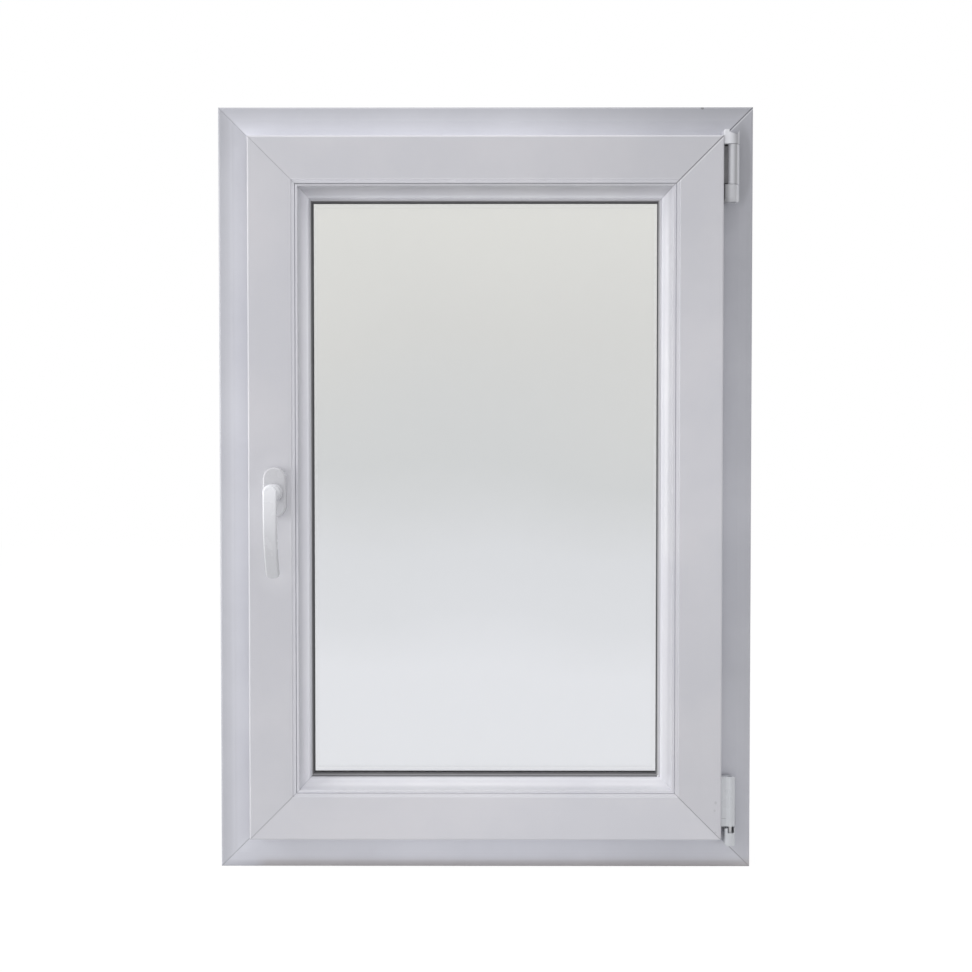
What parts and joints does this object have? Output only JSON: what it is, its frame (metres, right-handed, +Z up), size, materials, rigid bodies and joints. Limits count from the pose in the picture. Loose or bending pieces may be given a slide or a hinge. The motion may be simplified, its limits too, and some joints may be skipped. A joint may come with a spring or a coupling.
{
  "type": "pvc window",
  "caption": "Single-sash PVC window with mitred frame and sash, double glazing, a lever handle and surface hinges.",
  "frame": {"origin": "middle of the sill's underside, at half the frame's depth", "axes": "+X to the right seen from the room, +Y outdoors, +Z up; the room side faces -Y"},
  "size_m": [0.7, 0.147, 1],
  "materials": {
    "pvc_frame": "satin",
    "pvc_sash": "satin",
    "pvc_bead": "satin",
    "seal_rubber": "matt",
    "clear_glass": "clear",
    "spacer_metal": "satin",
    "white_metal": "satin",
    "white_plastic": "satin",
    "dark_steel": "dark zinc",
    "bare_steel": "zinc plated"
  },
  "bodies": {
    "window": {"bead_bottom": "pvc_bead", "bead_gasket_bottom": "seal_rubber", "bead_gasket_left": "seal_rubber", "bead_gasket_right": "seal_rubber", "bead_gasket_top": "seal_rubber", "bead_left": "pvc_bead", "bead_right": "pvc_bead", "bead_top": "pvc_bead", "drain_cap_left": "white_plastic", "drain_cap_right": "white_plastic", "frame_head": "pvc_frame", "frame_left_jamb": "pvc_frame", "frame_right_jamb": "pvc_frame", "frame_seal": "seal_rubber", "frame_sill": "pvc_frame", "handle_rosette": "white_metal", "inner_pane": "clear_glass", "lower_hinge_bracket": "white_metal", "lower_hinge_knuckle": "white_metal", "lower_hinge_pin": "bare_steel", "outer_glazing_gasket": "seal_rubber", "outer_pane": "clear_glass", "sash_bottom_rail": "pvc_sash", "sash_left_stile": "pvc_sash", "sash_right_stile": "pvc_sash", "sash_seal": "seal_rubber", "sash_top_rail": "pvc_sash", "spacer_bar": "spacer_metal", "upper_hinge_arm": "dark_steel", "upper_hinge_barrel": "white_metal", "upper_hinge_bottom_cap": "white_plastic", "upper_hinge_pin": "bare_steel", "upper_hinge_top_cap": "white_plastic"},
    "handle": {"handle_lever": "white_metal", "handle_spindle": "bare_steel"}
  },
  "joints": [
    {"name": "handle_turn", "type": "hinge", "parent": "window", "child": "handle", "pos_m": [-0.2732, -0.055, 0.497], "axis": [0, -1, 0], "range_deg": [0, 180]}
  ]
}
